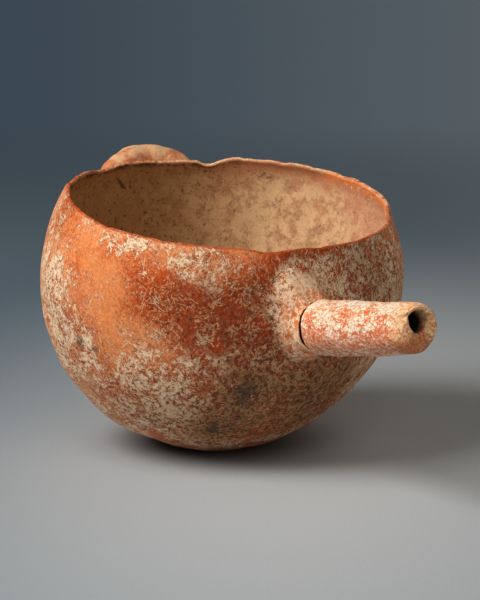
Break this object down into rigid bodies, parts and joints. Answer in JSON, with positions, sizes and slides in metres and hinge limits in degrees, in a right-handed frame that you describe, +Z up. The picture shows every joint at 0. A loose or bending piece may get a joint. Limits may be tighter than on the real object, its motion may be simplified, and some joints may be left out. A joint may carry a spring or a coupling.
{
  "type": "spouted bowl",
  "caption": "Round-bottomed bowl of fired red clay with a straight tubular spout set in its wall and a small upturned loop handle opposite the spout.",
  "frame": {"origin": "middle of the small worn spot under the round bottom, on which the bowl rests", "axes": "+Z up; +X toward the spout; the bowl itself leans 9.8 degrees toward its spout, as it lies on a table"},
  "size_m": [0.2266, 0.142, 0.1102],
  "materials": {
    "red_slip_body": "burnished red-orange slip over fired clay, worn through to cream and beige, satin",
    "spout_clay": "worn pinkish-cream and orange slip, bare tan clay at the tip, mostly matte",
    "luting_clay": "smeared clay under worn slip, cream and pink, matte",
    "inner_clay": "bare beige-tan clay, brown stained, matte",
    "handle_clay": "worn slip, cream with orange-red, matte to satin"
  },
  "bodies": {
    "root": {"bowl_shell": "red_slip_body", "spout_tube": "spout_clay", "spout_collar": "luting_clay", "spout_inner_ring": "inner_clay", "loop_handle": "handle_clay", "handle_pad_left": "luting_clay", "handle_pad_right": "luting_clay"}
  },
  "joints": []
}
